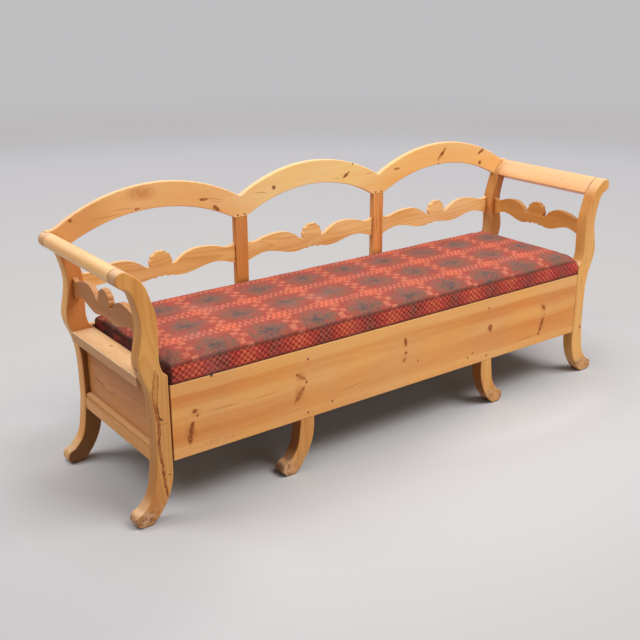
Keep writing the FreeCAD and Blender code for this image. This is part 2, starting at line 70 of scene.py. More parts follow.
class Shade:
    """Builds the node tree of one material."""

    def __init__(self, name, rough=0.5, specular=0.35):
        self.mat = bpy.data.materials.new(name)
        self.mat.use_nodes = True
        self.tree = self.mat.node_tree
        self.bsdf = self.tree.nodes["Principled BSDF"]
        self.bsdf.inputs["Roughness"].default_value = rough
        self.bsdf.inputs["Specular IOR Level"].default_value = specular

    def put(self, socket, value):
        if isinstance(value, bpy.types.NodeSocket):
            self.tree.links.new(value, socket)
        else:
            socket.default_value = value

    def node(self, kind, inputs=(), out=0, **settings):
        made = self.tree.nodes.new("ShaderNode" + kind)
        for key, value in settings.items():
            setattr(made, key, value)
        for key, value in dict(inputs).items():
            self.put(made.inputs[key], value)
        return made.outputs[out]

    def math(self, op, *values):
        return self.node("Math", enumerate(values), operation=op)

    def plus(self, first, *others):
        for other in others:
            first = self.math("ADD", first, other)
        return first

    def times(self, first, *others):
        for other in others:
            first = self.math("MULTIPLY", first, other)
        return first

    def most(self, first, *others):
        for other in others:
            first = self.math("MAXIMUM", first, other)
        return first

    def minus(self, a, b):
        return self.math("SUBTRACT", a, b)

    def over(self, a, b):
        return self.math("DIVIDE", a, b)

    def times_plus(self, value, factor, added):
        return self.math("MULTIPLY_ADD", value, factor, added)

    def size(self, value):
        return self.math("ABSOLUTE", value)

    def centred(self, value):
        """Noise runs from 0 to 1, this from -0.5 to 0.5."""
        return self.minus(value, 0.5)

    def fade(self, value, low, high, start=0.0, end=1.0):
        inputs = {0: value, 1: low, 2: high, 3: start, 4: end}
        return self.node("MapRange", inputs, interpolation_type="SMOOTHSTEP")

    def mix(self, factor, a, b, blend="MIX"):
        return self.node("Mix", {0: factor, 6: a, 7: b}, out=2, data_type="RGBA", blend_type=blend)

    def ramp(self, value, stops, kind="LINEAR"):
        made = self.tree.nodes.new("ShaderNodeValToRGB")
        ramp = made.color_ramp
        ramp.interpolation = kind
        ramp.elements.remove(ramp.elements[1])
        for i, (place, colour) in enumerate(stops):
            stop = ramp.elements[0] if i == 0 else ramp.elements.new(place)
            stop.position = place
            stop.color = colour
        self.put(made.inputs[0], value)
        return made.outputs[0]

    def curve(self, value, points):
        made = self.tree.nodes.new("ShaderNodeFloatCurve")
        line = made.mapping.curves[0]
        while len(line.points) < len(points):
            line.points.new(0.5, 0.5)
        for point, place in zip(line.points, points):
            point.location = place
        made.mapping.update()
        self.put(made.inputs[1], value)
        return made.outputs[0]

    def coords(self):
        return self.node("TexCoord", out=3)

    def normal(self):
        return self.split(self.node("NewGeometry", out=1))

    def vector(self, op, *values, out=0):
        return self.node("VectorMath", enumerate(values), out=out, operation=op)

    def split(self, vector):
        made = self.tree.nodes.new("ShaderNodeSeparateXYZ")
        self.put(made.inputs[0], vector)
        return list(made.outputs)

    def join(self, x, y, z):
        return self.node("CombineXYZ", {0: x, 1: y, 2: z})

    def noise(self, vector, scale, detail=2.0, rough=0.5):
        inputs = {"Vector": vector, "Scale": scale, "Detail": detail, "Roughness": rough}
        return self.node("TexNoise", inputs)

    def scaled(self, vector, x, y, z, shift=0.0):
        inputs = {"Vector": vector, "Scale": (x, y, z), "Location": (shift, shift * 0.7, shift * 1.3)}
        return self.node("Mapping", inputs)

    def shaken(self, vector, scale, reach):
        """The point moved by noise, up to half of reach either way along each axis."""
        moves = self.node("TexNoise", {"Vector": vector, "Scale": scale, "Detail": 2.0}, out=1)
        moved = self.vector("ADD", vector, self.vector("MULTIPLY", moves, reach))
        return self.vector("ADD", moved, tuple(-length / 2 for length in reach))

    def spot(self, vector, centre, size, turn=(0, 0, 0)):
        """1 at the centre of an ellipsoid and 0 outside it, with places and half sizes in mm."""
        inputs = {"Vector": vector, "Location": mm(*centre), "Rotation": tuple(map(math.radians, turn)),
                  "Scale": mm(*size)}
        q = self.node("Mapping", inputs, vector_type="TEXTURE")
        return self.node("TexGradient", {"Vector": q}, out=1, gradient_type="SPHERICAL")

    def spots(self, vector, marks):
        return self.most(*[self.spot(vector, *mark) for mark in marks]) if marks else None

    def bump(self, height, strength, distance):
        inputs = {"Height": height, "Strength": strength, "Distance": distance}
        self.put(self.bsdf.inputs["Normal"], self.node("Bump", inputs))


def across(x0, z0, x1, z1, wide, y=BOARD_FACE):
    """A stroke between two points of a front face: its centre, half sizes and turn."""
    length = math.hypot(x1 - x0, z1 - z0)
    angle = math.degrees(math.atan2(z1 - z0, x1 - x0))
    return ((x0 + x1) / 2, y, (z0 + z1) / 2), (length / 2 + wide, THROUGH, wide), (0, -angle, 0)


def dot(x, z, r, y=BOARD_FACE, tall=None):
    """A round knot in a front face. The dark part ends at about r, the halo at the spot's edge."""
    halo = 1.7
    return (x, y, z), (r * halo, THROUGH, (tall or r) * halo)


# Pine, the wood of the whole bench

# For each grain axis: the axes along the fibres, across them and into the plank.
ORDER = {"x": (0, 2, 1), "y": (1, 2, 0), "z": (2, 0, 1)}


def add_strokes(s, colour, stroke, small):
    """Knots cut lengthwise: a red halo, a broken brown middle and a darker ridge."""
    colour = s.mix(s.fade(stroke, 0.0, 0.35, 0.0, 0.45), colour, srgb(186, 94, 34))
    middle = s.times(s.fade(stroke, 0.15, 0.45), s.fade(small, 0.40, 0.60, 0.25, 0.9))
    colour = s.mix(middle, colour, srgb(140, 62, 18))
    ridge = s.times(s.fade(stroke, 0.12, 0.25), s.fade(stroke, 0.25, 0.45, 1.0, 0.0))
    return s.mix(s.times(ridge, s.fade(small, 0.45, 0.6, 0.0, 0.6)), colour, srgb(112, 48, 16))


def add_knots(s, colour, knot):
    """Round knots: a soft halo, a dark ring and a lighter heart."""
    colour = s.mix(s.fade(knot, 0.02, 0.4, 0.0, 0.5), colour, srgb(176, 94, 40))
    colour = s.mix(s.fade(knot, 0.38, 0.52, 0.0, 0.9), colour, srgb(112, 52, 20))
    return s.mix(s.fade(knot, 0.56, 0.76, 0.0, 0.8), colour, srgb(184, 108, 52))


def add_wear_and_painted_light(s, p, colour, joints, wear_and_highlight):
    """Pale tops, partly from wear and partly a painted highlight, dark along the joints, and painted shade
    in the corners and creases.
    """
    normal = s.normal()
    # Faces turned up are paler: partly wear, partly a painted highlight.
    colour = s.mix(s.fade(normal[2], 0.35, 0.9, 0.0, wear_and_highlight), colour, srgb(244, 206, 164))
    for axis, place, width in joints:
        near = s.size(s.minus(s.split(p)[axis], place / 1000))
        # a face square to the axis would lie in the line as a whole
        near = s.plus(near, s.fade(s.size(normal[axis]), 0.5, 0.8, 0.0, 1.0))
        colour = s.mix(s.fade(near, 0.0, width / 1000, 0.75, 0.0), colour, srgb(90, 56, 32))
    # Painted shade: darker where the ambient occlusion finds other surfaces close by.
    open_sky = s.node("AmbientOcclusion", {"Distance": 0.025}, out=1, samples=6)
    return s.mix(s.fade(open_sky, 0.25, 0.8, 0.5, 0.0), colour, srgb(110, 62, 32), "MULTIPLY")


def pine(name, grain, seed, light, dark, pith, gap=0.0055, lines=0.5, streaks=0.5, knots=(), strokes=(),
         cracks=(), zones=None, extra=None, joints=(), rough=0.42, specular=0.2, wear_and_highlight=0.25):
    """Waxed pine.

    grain is the axis along the fibres, pith how far across and behind the heart of the tree lies,
    gap the width of a growth ring, lines and streaks how strongly rings and broad bands show.
    knots, strokes and cracks are marks, zones and extra change the tone and the colour of a piece,
    joints are dark lines (axis, place, width), and the last argument is how pale its tops are, from wear
    and a painted highlight.
    """
    s = Shade(name, rough, specular)
    p = s.coords()
    bend = s.vector("SUBTRACT", s.noise(s.scaled(p, 1, 1, 1, seed), 3.0, 1.0), (0.5, 0.5, 0.5))
    bent = s.vector("ADD", p, s.vector("MULTIPLY", bend, (0.02, 0.02, 0.02)))
    parts = s.split(bent)
    along, side, deep = (parts[i] for i in ORDER[grain])
    line = s.join(along, side, deep)
    small = s.noise(p, 60.0, 3.0)
    rough_p = s.shaken(p, 70.0, (0.006, 0.006, 0.006))
    knot = s.spots(rough_p, knots)
    stroke = s.spots(rough_p, strokes)
    crack = s.spots(rough_p, cracks)

    # growth rings, which run round the marks
    a = s.plus(side, pith[0])
    b = s.plus(deep, pith[1])
    drift = s.noise(s.scaled(line, 1.4, 7, 7, seed + 3), 1.0, 2.0)
    drift = s.times_plus(drift, 0.03, s.times(along, 0.012))
    ring = s.plus(s.math("SQRT", s.plus(s.times(a, a), s.times(b, b))), drift)
    if knot:
        ring = s.times_plus(knot, 0.016, ring)
    if stroke:
        ring = s.times_plus(stroke, 0.008, ring)
    fine = s.math("FRACT", s.over(ring, gap))
    late = s.times(s.fade(fine, 0.25, 0.9), s.fade(fine, 0.9, 1.0, 1.0, 0.0))
    bands = s.join(s.times(along, 0.05), ring, ring)
    broad = s.noise(s.scaled(bands, 26, 26, 26, seed + 9), 1.0, 2.0)
    tone = s.noise(s.scaled(line, 1.6, 14, 14, seed + 5), 1.0, 2.0, 0.55)
    fibre = s.noise(s.scaled(line, 9, 420, 420, seed), 1.0, 2.0)

    # how dark the wood is
    body = s.plus(s.times(s.fade(broad, 0.3, 0.7), streaks), s.times(s.fade(tone, 0.35, 0.68), 0.45))
    body = s.plus(body, s.times(s.minus(late, 0.3), lines * 0.7))
    body = s.plus(body, s.times(s.centred(fibre), 0.5))
    if zones:
        body = s.plus(s.times(body, 0.55), zones(s, bent))
    colour = s.mix(s.node("Clamp", {0: body}), light, dark)
    patch = s.noise(s.scaled(p, 1, 1, 1, seed + 20), 5.0, 3.0)
    colour = s.mix(s.fade(patch, 0.3, 0.75, 0.0, 0.35), colour, srgb(236, 186, 118), "SOFT_LIGHT")
    fleck = s.noise(s.scaled(line, 40, 800, 800, seed + 2), 1.0, 1.0)
    colour = s.mix(s.fade(fleck, 0.66, 0.78, 0.0, 0.22), colour, srgb(140, 82, 40))

    # what the piece alone has, its marks, and over all of it pale tops, dark joints and painted shade
    if extra:
        colour = extra(s, p, bent, colour, small)
    if stroke:
        colour = add_strokes(s, colour, stroke, small)
    if knot:
        colour = add_knots(s, colour, knot)
    if crack:
        colour = s.mix(s.fade(crack, 0.1, 0.7, 0.0, 0.6), colour, srgb(152, 78, 26))
    colour = add_wear_and_painted_light(s, p, colour, joints, wear_and_highlight)
    s.put(s.bsdf.inputs["Base Color"], colour)
    shine = s.noise(s.scaled(line, 3, 30, 30, seed + 1), 1.0, 2.0)
    s.put(s.bsdf.inputs["Roughness"], s.times_plus(shine, 0.22, rough - 0.1))
    height = s.plus(s.times(late, -0.6 * lines), s.times(fibre, 0.5))
    if knot:
        height = s.plus(height, s.fade(knot, 0.3, 0.6))
    s.bump(height, 0.35, 0.0004)
    return s.mat


def dress(name, material):
    data = nodes[name].data
    data.materials.clear()
    data.materials.append(material)


# Front board

BOARD_BOTTOM, BOARD_TOP = 0.189, 0.431
# Place from the lower to the upper edge, and how much darker heartwood shows there.
HEARTWOOD = [(0.0, 0.25), (0.125, 0.22), (0.15, 0.7), (0.28, 0.9), (0.40, 0.75), (0.50, 0.3), (0.56, 0.12),
             (0.62, 0.2), (0.70, 0.65), (0.82, 0.8), (0.843, 0.25), (0.87, 0.1), (1.0, 0.1)]
# x, z and half sizes of the reddish clouds round the knots.
CLOUDS = [(-842, 262, 26, 40), (-820, 326, 24, 16), (-446, 284, 26, 44), (-438, 342, 30, 20),
          (5, 356, 16, 26), (2, 292, 16, 14), (421, 314, 20, 14), (712, 334, 24, 24), (708, 268, 20, 40)]


def board_zones(s, bent):
    """Light sapwood at the top and bottom edges and in a flame along the middle."""
    x, _, z = s.split(bent)
    lift = s.noise(s.join(s.times(x, 1.6), 0.0, 0.0), 1.0, 2.0)
    lift = s.times(s.centred(lift), 0.03)
    level = s.node("MapRange", {0: s.plus(z, lift), 1: BOARD_BOTTOM, 2: BOARD_TOP})
    heart = s.ramp(level, [(place, (grey, grey, grey, 1.0)) for place, grey in HEARTWOOD], "EASE")
    pale = s.fade(s.size(s.plus(x, 0.1)), 0.1, 0.6, 0.55, 1.0)
    return s.times_plus(s.times(heart, pale), 0.8, -0.18)


def board_extra(s, p, bent, colour, small):
    """The mottled strip low on the left, the clouds round the knots and the nick in the top edge."""
    strip = s.fade(s.spot(p, (-735, BOARD_FACE, 212), (95, THROUGH, 13)), 0.05, 0.6)
    mottle = s.times(strip, s.fade(s.noise(p, 260.0, 2.0), 0.48, 0.62))
    colour = s.mix(s.times(mottle, 0.4), colour, srgb(170, 98, 44))
    clouds = s.spots(bent, [((x, BOARD_FACE, z), (wide, THROUGH, tall)) for x, z, wide, tall in CLOUDS])
    cloudy = s.times(s.fade(clouds, 0.0, 0.7), s.fade(s.noise(p, 34.0, 3.0), 0.35, 0.6, 0.4, 1.0))
    colour = s.mix(s.times(cloudy, 0.5), colour, srgb(190, 108, 56))
    nick = s.fade(s.spot(p, (-762, -270, 432), (7, 14, 9)), 0.05, 0.3)
    return s.mix(nick, colour, srgb(40, 28, 20))


dress("front_board", pine(
    "board_pine", "x", 4.0, srgb(236, 174, 106), srgb(216, 133, 65), pith=(-0.33, 0.16), gap=0.007,
    lines=0.28, streaks=0.35, zones=board_zones, extra=board_extra,
    knots=[dot(-823, 331, 6.5), dot(-815, 314, 4), dot(-843, 244, 7.5, tall=13), dot(-416, 318, 4),
           dot(7, 315, 5), dot(421, 318, 9), dot(424, 304, 5), dot(694, 230, 5), dot(64, 271, 3),
           dot(336, 235, 3.5), dot(720, 306, 3)],
    strokes=[across(-842, 252, -831, 296, 10), across(-455, 352, -420, 328, 8),
             across(-426, 303, -462, 256, 12), across(1, 372, 8, 341, 7), across(6, 298, -2, 284, 6),
             across(701, 348, 722, 321, 7), across(720, 296, 696, 236, 8)],
    cracks=[across(-800, 318, -640, 314, 2), across(-640, 313, -500, 314, 1.5),
            across(-330, 247, -120, 258, 2), across(520, 226, 700, 230, 2)]))


# Posts

# Left edge and width of the front face of the left front post, and the ends of its bark pocket.
FACE_LEFT, FACE_WIDTH = -0.960, 0.040
BARK_BOTTOM, BARK_TOP = 0.07, 0.495
# Height from the lower to the upper end of the bark, then its place or width over the face.
BARK_PATH = [(0.0, 0.85), (0.07, 0.73), (0.17, 0.60), (0.28, 0.54), (0.36, 0.40), (0.45, 0.36),
             (0.55, 0.42), (0.66, 0.38), (0.75, 0.26), (0.83, 0.30), (0.92, 0.40), (1.0, 0.42)]
BARK_WIDTH = [(0.0, 0.08), (0.05, 0.14), (0.3, 0.17), (0.45, 0.19), (0.6, 0.24), (0.72, 0.26),
              (0.8, 0.42), (0.88, 0.44), (0.95, 0.28), (1.0, 0.04)]


def scuffs_and_painted_shade(s, p, bent, colour, small):
    """Feet rubbed grey and brown, a worn scroll on the left, and painted shade on the front faces of the
    back posts, deepest below the seat.
    """
    x, y, z = s.split(p)
    rubbed = s.times(s.fade(z, 0.035, 0.075, 1.0, 0.0), s.fade(s.noise(p, 34.0, 3.0), 0.38, 0.6, 0.2, 0.8))
    colour = s.mix(rubbed, colour, s.mix(s.fade(small, 0.48, 0.62), srgb(214, 168, 132), srgb(150, 98, 62)))
    facing = s.normal()[1]
    rim = s.times(s.fade(s.size(facing), 0.3, 0.6, 1.0, 0.0), s.fade(x, -0.990, -0.965, 1.0, 0.0))
    colour = s.mix(s.times(rim, s.fade(z, 0.715, 0.745, 0.0, 0.6)), colour, srgb(196, 156, 126))
    # Painted shade on the front faces of the back posts, much deeper below the seat.
    back_post_fronts = s.times(s.fade(facing, -0.95, -0.85, 1.0, 0.0), s.fade(y, 0.1, 0.2))
    painted_shade_tone = s.mix(s.fade(z, 0.425, 0.465), srgb(122, 76, 41), srgb(208, 129, 67))
    colour = s.mix(s.times(back_post_fronts, 0.85), colour, painted_shade_tone)
    return s.mix(s.fade(z, 0.0, 0.008, 0.6, 0.0), colour, srgb(84, 58, 40))


def bark(s, p, bent, colour, small):
    """The long bark pocket in the front face of the left front post, which is duller lower down."""
    x, y, z = s.split(p)
    colour = s.mix(s.fade(z, 0.25, 0.65, 0.28, 0.08), colour, srgb(150, 98, 72))
    t = s.node("MapRange", {0: z, 1: BARK_BOTTOM, 2: BARK_TOP})
    centre = s.curve(t, BARK_PATH)
    width = s.curve(t, BARK_WIDTH)
    place = s.over(s.plus(x, -FACE_LEFT), FACE_WIDTH)
    wave = s.times(s.centred(s.noise(p, 90.0, 3.0)), 0.28)
    reach = s.over(s.size(s.plus(s.minus(place, centre), wave)), s.times(width, 0.55))
    face = s.fade(y, -0.272, -0.262, 1.0, 0.0)
    span = s.times(s.fade(t, 0.0, 0.03), s.fade(t, 0.985, 1.0, 1.0, 0.0))
    inside = s.times(s.fade(reach, 0.8, 1.05, 1.0, 0.0), face, span)
    rim = s.times(s.fade(reach, 0.45, 0.8), s.fade(reach, 0.85, 1.25, 1.0, 0.0), s.times(face, span))
    core = s.fade(t, 0.70, 0.80, 1.0, 0.55)
    brown = s.mix(s.fade(t, 0.68, 0.78), srgb(150, 74, 30), srgb(190, 116, 52))
    colour = s.mix(s.times(inside, core, s.fade(small, 0.3, 0.6, 0.55, 0.95)), colour, brown)
    edge = s.mix(s.fade(t, 0.68, 0.78), srgb(112, 50, 18), srgb(140, 70, 24))
    colour = s.mix(s.times(rim, s.fade(small, 0.35, 0.6, 0.4, 0.9)), colour, edge)
    colour = scuffs_and_painted_shade(s, p, bent, colour, small)
    spur = s.times(s.fade(s.spot(p, *across(-942, 342, -928, 330, 5, POST_FACE)), 0.15, 0.6), face)
    return s.mix(s.times(spur, 0.85), colour, srgb(84, 36, 14))


dress("post_front_left", pine(
    "post_pine_1", "z", 11.0, srgb(240, 178, 100), srgb(212, 140, 68), pith=(0.98, 0.42), lines=0.4,
    knots=[((-992, -255, 500), (7, 10, 13)), dot(-917, 150, 3), ((-1036, -235, 745), (8, 25, 6))],
    cracks=[across(-942, 320, -908, 318, 1.5, POST_FACE)],
    extra=bark, wear_and_highlight=0.6, joints=[(1, -POST_SIDE, 1.6)]))
dress("post_front_right", pine(
    "post_pine_2", "z", 17.0, srgb(240, 180, 108), srgb(210, 142, 76), pith=(-0.93, 0.36), lines=0.4,
    knots=[dot(947, 202, 5, POST_FACE), ((903, -250, 613), (10, 10, 8)),
           ((985, -234, 773), (6, 5, 6)), ((971, -236, 762), (6, 5, 6))],
    extra=scuffs_and_painted_shade, wear_and_highlight=0.6, joints=[(1, -POST_SIDE, 1.6)]))
dress("post_back_left", pine(
    "post_pine_3", "z", 23.0, srgb(250, 190, 116), srgb(226, 148, 78), pith=(0.94, -0.15),
    extra=scuffs_and_painted_shade, wear_and_highlight=0.6, joints=[(1, POST_SIDE, 1.6), (1, POST_SIDE + 4, 1.2)]))
dress("post_back_right", pine(
    "post_pine_4", "z", 31.0, srgb(234, 174, 108), srgb(202, 136, 76), pith=(-1.0, -0.1),
    extra=scuffs_and_painted_shade, wear_and_highlight=0.6, joints=[(1, POST_SIDE, 1.6)]))


# Arms and ends

# Light and dark tone of the arm rail and the arm splat on each side.
ARM_TONES = {"left": (srgb(254, 208, 146), srgb(238, 176, 108)),
             "right": (srgb(244, 184, 124), srgb(226, 153, 91))}
SPLAT_TONES = {"left": (srgb(212, 148, 88), srgb(184, 118, 62)),
               "right": (srgb(230, 170, 94), srgb(204, 135, 70))}
ARM_PEGS = {"left": (), "right": [((981, -94, 771), (6, 6, 6))]}


def ledge_tones(s, p, bent, colour, small, sign, seed):
    """A wavy line of raised grain across the top, a painted highlight along the outer top edge and painted
    shade on the side.
    """
    x, y, z = s.split(p)
    aside = s.size(s.normal()[0])
    # Painted shade on the faces turned to the side.
    colour = s.mix(s.fade(aside, 0.6, 0.9, 0.0, 0.5), colour, srgb(196, 134, 84))
    # Painted highlight along the outer top edge.
    edge = s.times(s.fade(s.size(x), 0.9785, 0.981), s.fade(z, 0.4615, 0.4635))
    colour = s.mix(s.times(edge, s.fade(small, 0.3, 0.6, 0.3, 0.9)), colour, srgb(255, 226, 176))
    bend = s.times(s.centred(s.noise(s.scaled(p, 30, 30, 1, seed), 1.0, 2.0)), 0.03)
    lift = s.plus(y, bend, s.times(s.minus(s.size(x), 0.945), -0.9))
    rows = s.size(s.centred(s.math("FRACT", s.over(lift, 0.019))))
    region = s.fade(s.spot(p, (sign * 945, -8, 465), (60, 62, 20)), 0.1, 0.5)
    wavy = s.times(s.fade(rows, 0.02, 0.13, 1.0, 0.0), region, s.fade(small, 0.42, 0.56))
    return s.mix(s.times(wavy, 0.6), colour, srgb(164, 96, 48))


def cathedral(s, p, bent, colour, small, sign, seed):
    """Arched rows of grain in two groups, two streaks and the shade below the ledge."""
    x, _, z = s.split(p)
    middle = sign * PANEL_FACE
    ripple = s.times(s.centred(s.noise(s.scaled(p, 1, 14, 14, seed), 1.0, 3.0)), 0.035)
    rows = s.math("FRACT", s.over(s.plus(z, ripple), 0.0105))
    mask = s.times(s.fade(rows, 0.55, 0.85), s.fade(rows, 0.85, 1.0, 1.0, 0.0))
    blotch = s.fade(s.noise(s.scaled(p, 1, 22, 60, seed + 5), 1.0, 2.0), 0.42, 0.6)
    group = s.spots(p, [((middle, 140, 300), (THROUGH, 95, 14)),
                        ((middle, -108, 307), (THROUGH, 112, 20), (-4, 0, 0))])
    amount = s.times(mask, blotch, s.fade(group, 0.02, 0.35))
    streak = s.spots(p, [((middle, 152, 310), (THROUGH, 62, 3.2), (5, 0, 0)),
                         ((middle, 50, 303), (THROUGH, 44, 2.6), (-9, 0, 0))])
    amount = s.most(amount, s.times(s.fade(streak, 0.05, 0.4), s.fade(small, 0.35, 0.5, 0.4, 1.0)))
    shaded = s.times(s.fade(z, 0.378, 0.405), s.fade(s.size(x), 0.934, 0.937))
    colour = s.mix(s.times(shaded, 0.5), colour, srgb(168, 108, 66))
    return s.mix(s.times(amount, 0.85), colour, srgb(164, 80, 26))


def bead(s, p, bent, colour, small):
    """Painted shade in the groove along the rail and a browner edge above it."""
    z = s.split(p)[2]
    # Painted shade: a dark line in the groove.
    near = s.size(s.minus(z, 0.2335))
    colour = s.mix(s.fade(near, 0.0, 0.0024, 0.7, 0.0), colour, srgb(110, 64, 34))
    return s.mix(s.fade(z, 0.236, 0.243, 0.0, 0.4), colour, srgb(180, 122, 76))


for side, sign in (("left", -1), ("right", 1)):
    seed = 40.0 + sign
    dress("arm_rail_" + side, pine(
        "arm_pine_" + side, "y", seed, *ARM_TONES[side], pith=(-0.70, sign * -1.0), lines=0.35,
        knots=ARM_PEGS[side], rough=0.34, specular=0.5, wear_and_highlight=0.5,
        joints=[(1, -POST_SIDE, 1.8), (1, POST_SIDE, 1.8)]))
    dress("arm_splat_" + side, pine(
        "arm_splat_pine_" + side, "y", seed + 3, *SPLAT_TONES[side], pith=(-0.55, -sign * 0.9)))
    dress("end_ledge_" + side, pine(
        "ledge_pine_" + side, "y", seed + 6, srgb(220, 176, 131), srgb(200, 150, 103),
        pith=(-0.38, -sign * 0.95), lines=0.4, extra=partial(ledge_tones, sign=sign, seed=seed),
        strokes=[((sign * 914.5, 232, 465), (7, 14, 10), (0, 0, 20)), ((sign * 933, 38, 465), (5, 11, 9))]))
    dress("end_panel_" + side, pine(
        "panel_pine_" + side, "y", seed + 9, srgb(217, 149, 89), srgb(188, 117, 63),
        pith=(-0.32, -sign * 0.85), lines=0.3, extra=partial(cathedral, sign=sign, seed=seed)))
    dress("end_bottom_rail_" + side, pine(
        "bottom_pine_" + side, "y", seed + 12, srgb(246, 182, 116), srgb(214, 144, 80),
        pith=(-0.25, -sign * 0.88), extra=bead))


# Back

def rail_tones(s, p, bent, colour, small):
    """Each arch has its own tint, and the left one has a dark cloud near its crown."""
    x = s.split(bent)[0]
    colour = s.mix(s.fade(x, -0.50, -0.15, 0.45, 0.0), colour, srgb(238, 152, 82))
    colour = s.mix(s.fade(x, 0.25, 0.50, 0.0, 0.4), colour, srgb(250, 172, 92))
    colour = s.mix(s.fade(x, -0.90, -0.78, 0.5, 0.0), colour, srgb(206, 140, 80))
    cloud = s.fade(s.spot(bent, (-700, BACK_FACE, 872), (75, THROUGH, 34)), 0.0, 0.8)
    cloud = s.times(cloud, s.fade(small, 0.35, 0.6, 0.6, 1.0))
    return s.mix(s.times(cloud, 0.6), colour, srgb(202, 116, 48))


def red_streaks(s, p, bent, colour, small):
    run = s.noise(s.scaled(p, 150, 150, 7, 3.0), 1.0, 3.0)
    return s.mix(s.fade(run, 0.52, 0.64, 0.0, 0.6), colour, srgb(150, 72, 36))


def leg_sides_painted_shade(s, p, bent, colour, small):
    """The sides of the legs are darker than their faces: painted shade."""
    aside = s.size(s.normal()[0])
    # Painted shade on the faces turned to the side.
    colour = s.mix(s.fade(aside, 0.45, 0.9, 0.0, 0.9), colour, srgb(146, 82, 36))
    return scuffs_and_painted_shade(s, p, bent, colour, small)


# x, z and radius of the knots, then the ends and half width of the strokes and cracks of the rail.
RAIL_KNOTS = [(-943, 820, 5), (-716, 824, 4), (-706, 826, 3), (-421, 789, 6), (-410, 781, 5),
              (-175, 827, 6.5), (185, 872, 4), (150, 830, 5.5), (630, 818, 5), (867, 799, 7)]
RAIL_STROKES = [(667, 882, 626, 836, 9), (884, 853, 858, 838, 9), (-424, 794, -404, 776, 8),
                (170, 843, 138, 821, 7), (-478, 824, -445, 822, 6), (395, 827, 420, 827, 6)]
RAIL_CRACKS = [(-900, 812, -740, 816, 2), (-830, 833, -700, 830, 1.5), (-277, 820, -185, 811, 2),
               (-470, 829, -360, 806, 2), (-450, 818, -380, 800, 1.5), (85, 826, 135, 824, 1.5),
               (250, 826, 280, 823, 2)]
dress("back_top_rail", pine(
    "rail_pine", "x", 52.0, srgb(255, 218, 152), srgb(252, 188, 112), pith=(-0.70, -0.12), gap=0.006,
    lines=0.3, streaks=0.4, wear_and_highlight=0.6, extra=rail_tones,
    knots=[dot(*knot, BACK_FACE) for knot in RAIL_KNOTS],
    strokes=[across(*stroke, BACK_FACE) for stroke in RAIL_STROKES],
    cracks=[across(*crack, BACK_FACE) for crack in RAIL_CRACKS]))
PALE_TONES = (srgb(255, 210, 146), srgb(224, 158, 92))
BACK_TONES = {"left": (srgb(246, 194, 126), srgb(208, 140, 76)), "middle": PALE_TONES, "right": PALE_TONES}
for i, (name, tones) in enumerate(BACK_TONES.items()):
    dress("back_splat_" + name, pine(
        "splat_pine_" + name, "x", 60.0 + 3 * i, *tones, pith=(-0.60 - 0.02 * i, -0.2), gap=0.006,
        lines=0.45, streaks=0.5, wear_and_highlight=0.5))
dress("back_stile_left", pine(
    "stile_pine_left", "z", 71.0, srgb(232, 164, 98), srgb(204, 130, 66), pith=(0.25, -0.2), lines=0.5))
dress("back_stile_right", pine(
    "stile_pine_right", "z", 75.0, srgb(250, 182, 112), srgb(222, 142, 74), pith=(-0.38, -0.2), lines=0.6,
    extra=red_streaks))
dress("back_seat_rail", pine(
    "seat_rail_pine", "x", 78.0, srgb(206, 142, 84), srgb(178, 108, 58), pith=(-0.50, -0.2)))
for name, seed, pith_x in (("left", 82.0, 0.40), ("right", 86.0, -0.5)):
    dress("middle_leg_" + name, pine(
        "leg_pine_" + name, "z", seed, srgb(226, 170, 104), srgb(196, 132, 72), pith=(pith_x, 0.4),
        extra=leg_sides_painted_shade))


# Inner pieces, never waxed and so gone grey with age, and the pegs

plain_x = pine(
    "plain_pine_x", "x", 90.0, srgb(166, 152, 134), srgb(136, 118, 98), pith=(-0.30, 0.3), rough=0.7)
plain_y = pine(
    "plain_pine_y", "y", 94.0, srgb(168, 154, 136), srgb(138, 120, 100), pith=(-0.35, 0.4), rough=0.7)
for name, node in nodes.items():
    slots = [m.name for m in node.data.materials]
    if slots and slots[0].startswith("plain_pine"):
        lo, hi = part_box(name)
        dress(name, plain_x if hi[0] - lo[0] > hi[1] - lo[1] else plain_y)


def peg_wood():
    s = Shade("peg_wood", 0.55)
    p = s.coords()
    inputs = {"Vector": p, "Scale": 90.0, "Distortion": 3.0, "Detail": 2.0}
    rings = s.node("TexWave", inputs, wave_type="RINGS")
    s.put(s.bsdf.inputs["Base Color"], s.mix(rings, srgb(112, 66, 36), srgb(150, 96, 54)))
    s.bump(s.noise(p, 400.0, 3.0), 0.4, 0.0005)
    return s.mat


pegs = peg_wood()
for name in ("board_pegs", "back_rail_pegs"):
    dress(name, pegs)


# Cushion. It has the place and size of its CAD solid, in m, and height 0 is its underside.

HALF = Vector((0.9015, 0.2619, 0.0))
MIDDLE_Y = -0.0122
BASE = 0.4315
EDGE = 0.0750
SEAM = 0.0545
CORNER = 0.015
LOW_CORNER = 0.0025
HEIGHTS = (0.0, 0.005, 0.015, 0.025, 0.035, 0.045, SEAM, 0.0595, 0.0645, 0.0700, EDGE)
# The levels below this one belong to the small lower corner.
LOW_LEVELS = 4
COLUMNS, ROWS, LEVELS = 180, 54, len(HEIGHTS) - 1
# Behind this line the cushion lies between the posts, and this is its limit to the sides there.
POSTS_Y, POSTS_X = -0.2756, 0.9034
# How far the simulation may move a point of the sides and a point of the panels.
CAP_SIDES, CAP_PANELS = 0.0045, 0.007
SIM_FRAMES = 20
CROWN = 0.003
# The corners sink at the top, and those in front swell, the right one more.
SINK = 0.013
SWELL_LEFT, SWELL_RIGHT = 0.006, 0.012
SEAM_DEPTH = 0.0032
# Height and density of the large lumps, the small lumps and the ripples along the seam.
LUMPS = (0.0024, 9)
SMALL_LUMPS = (0.0012, 24)
RIPPLES = (0.0012, 60)


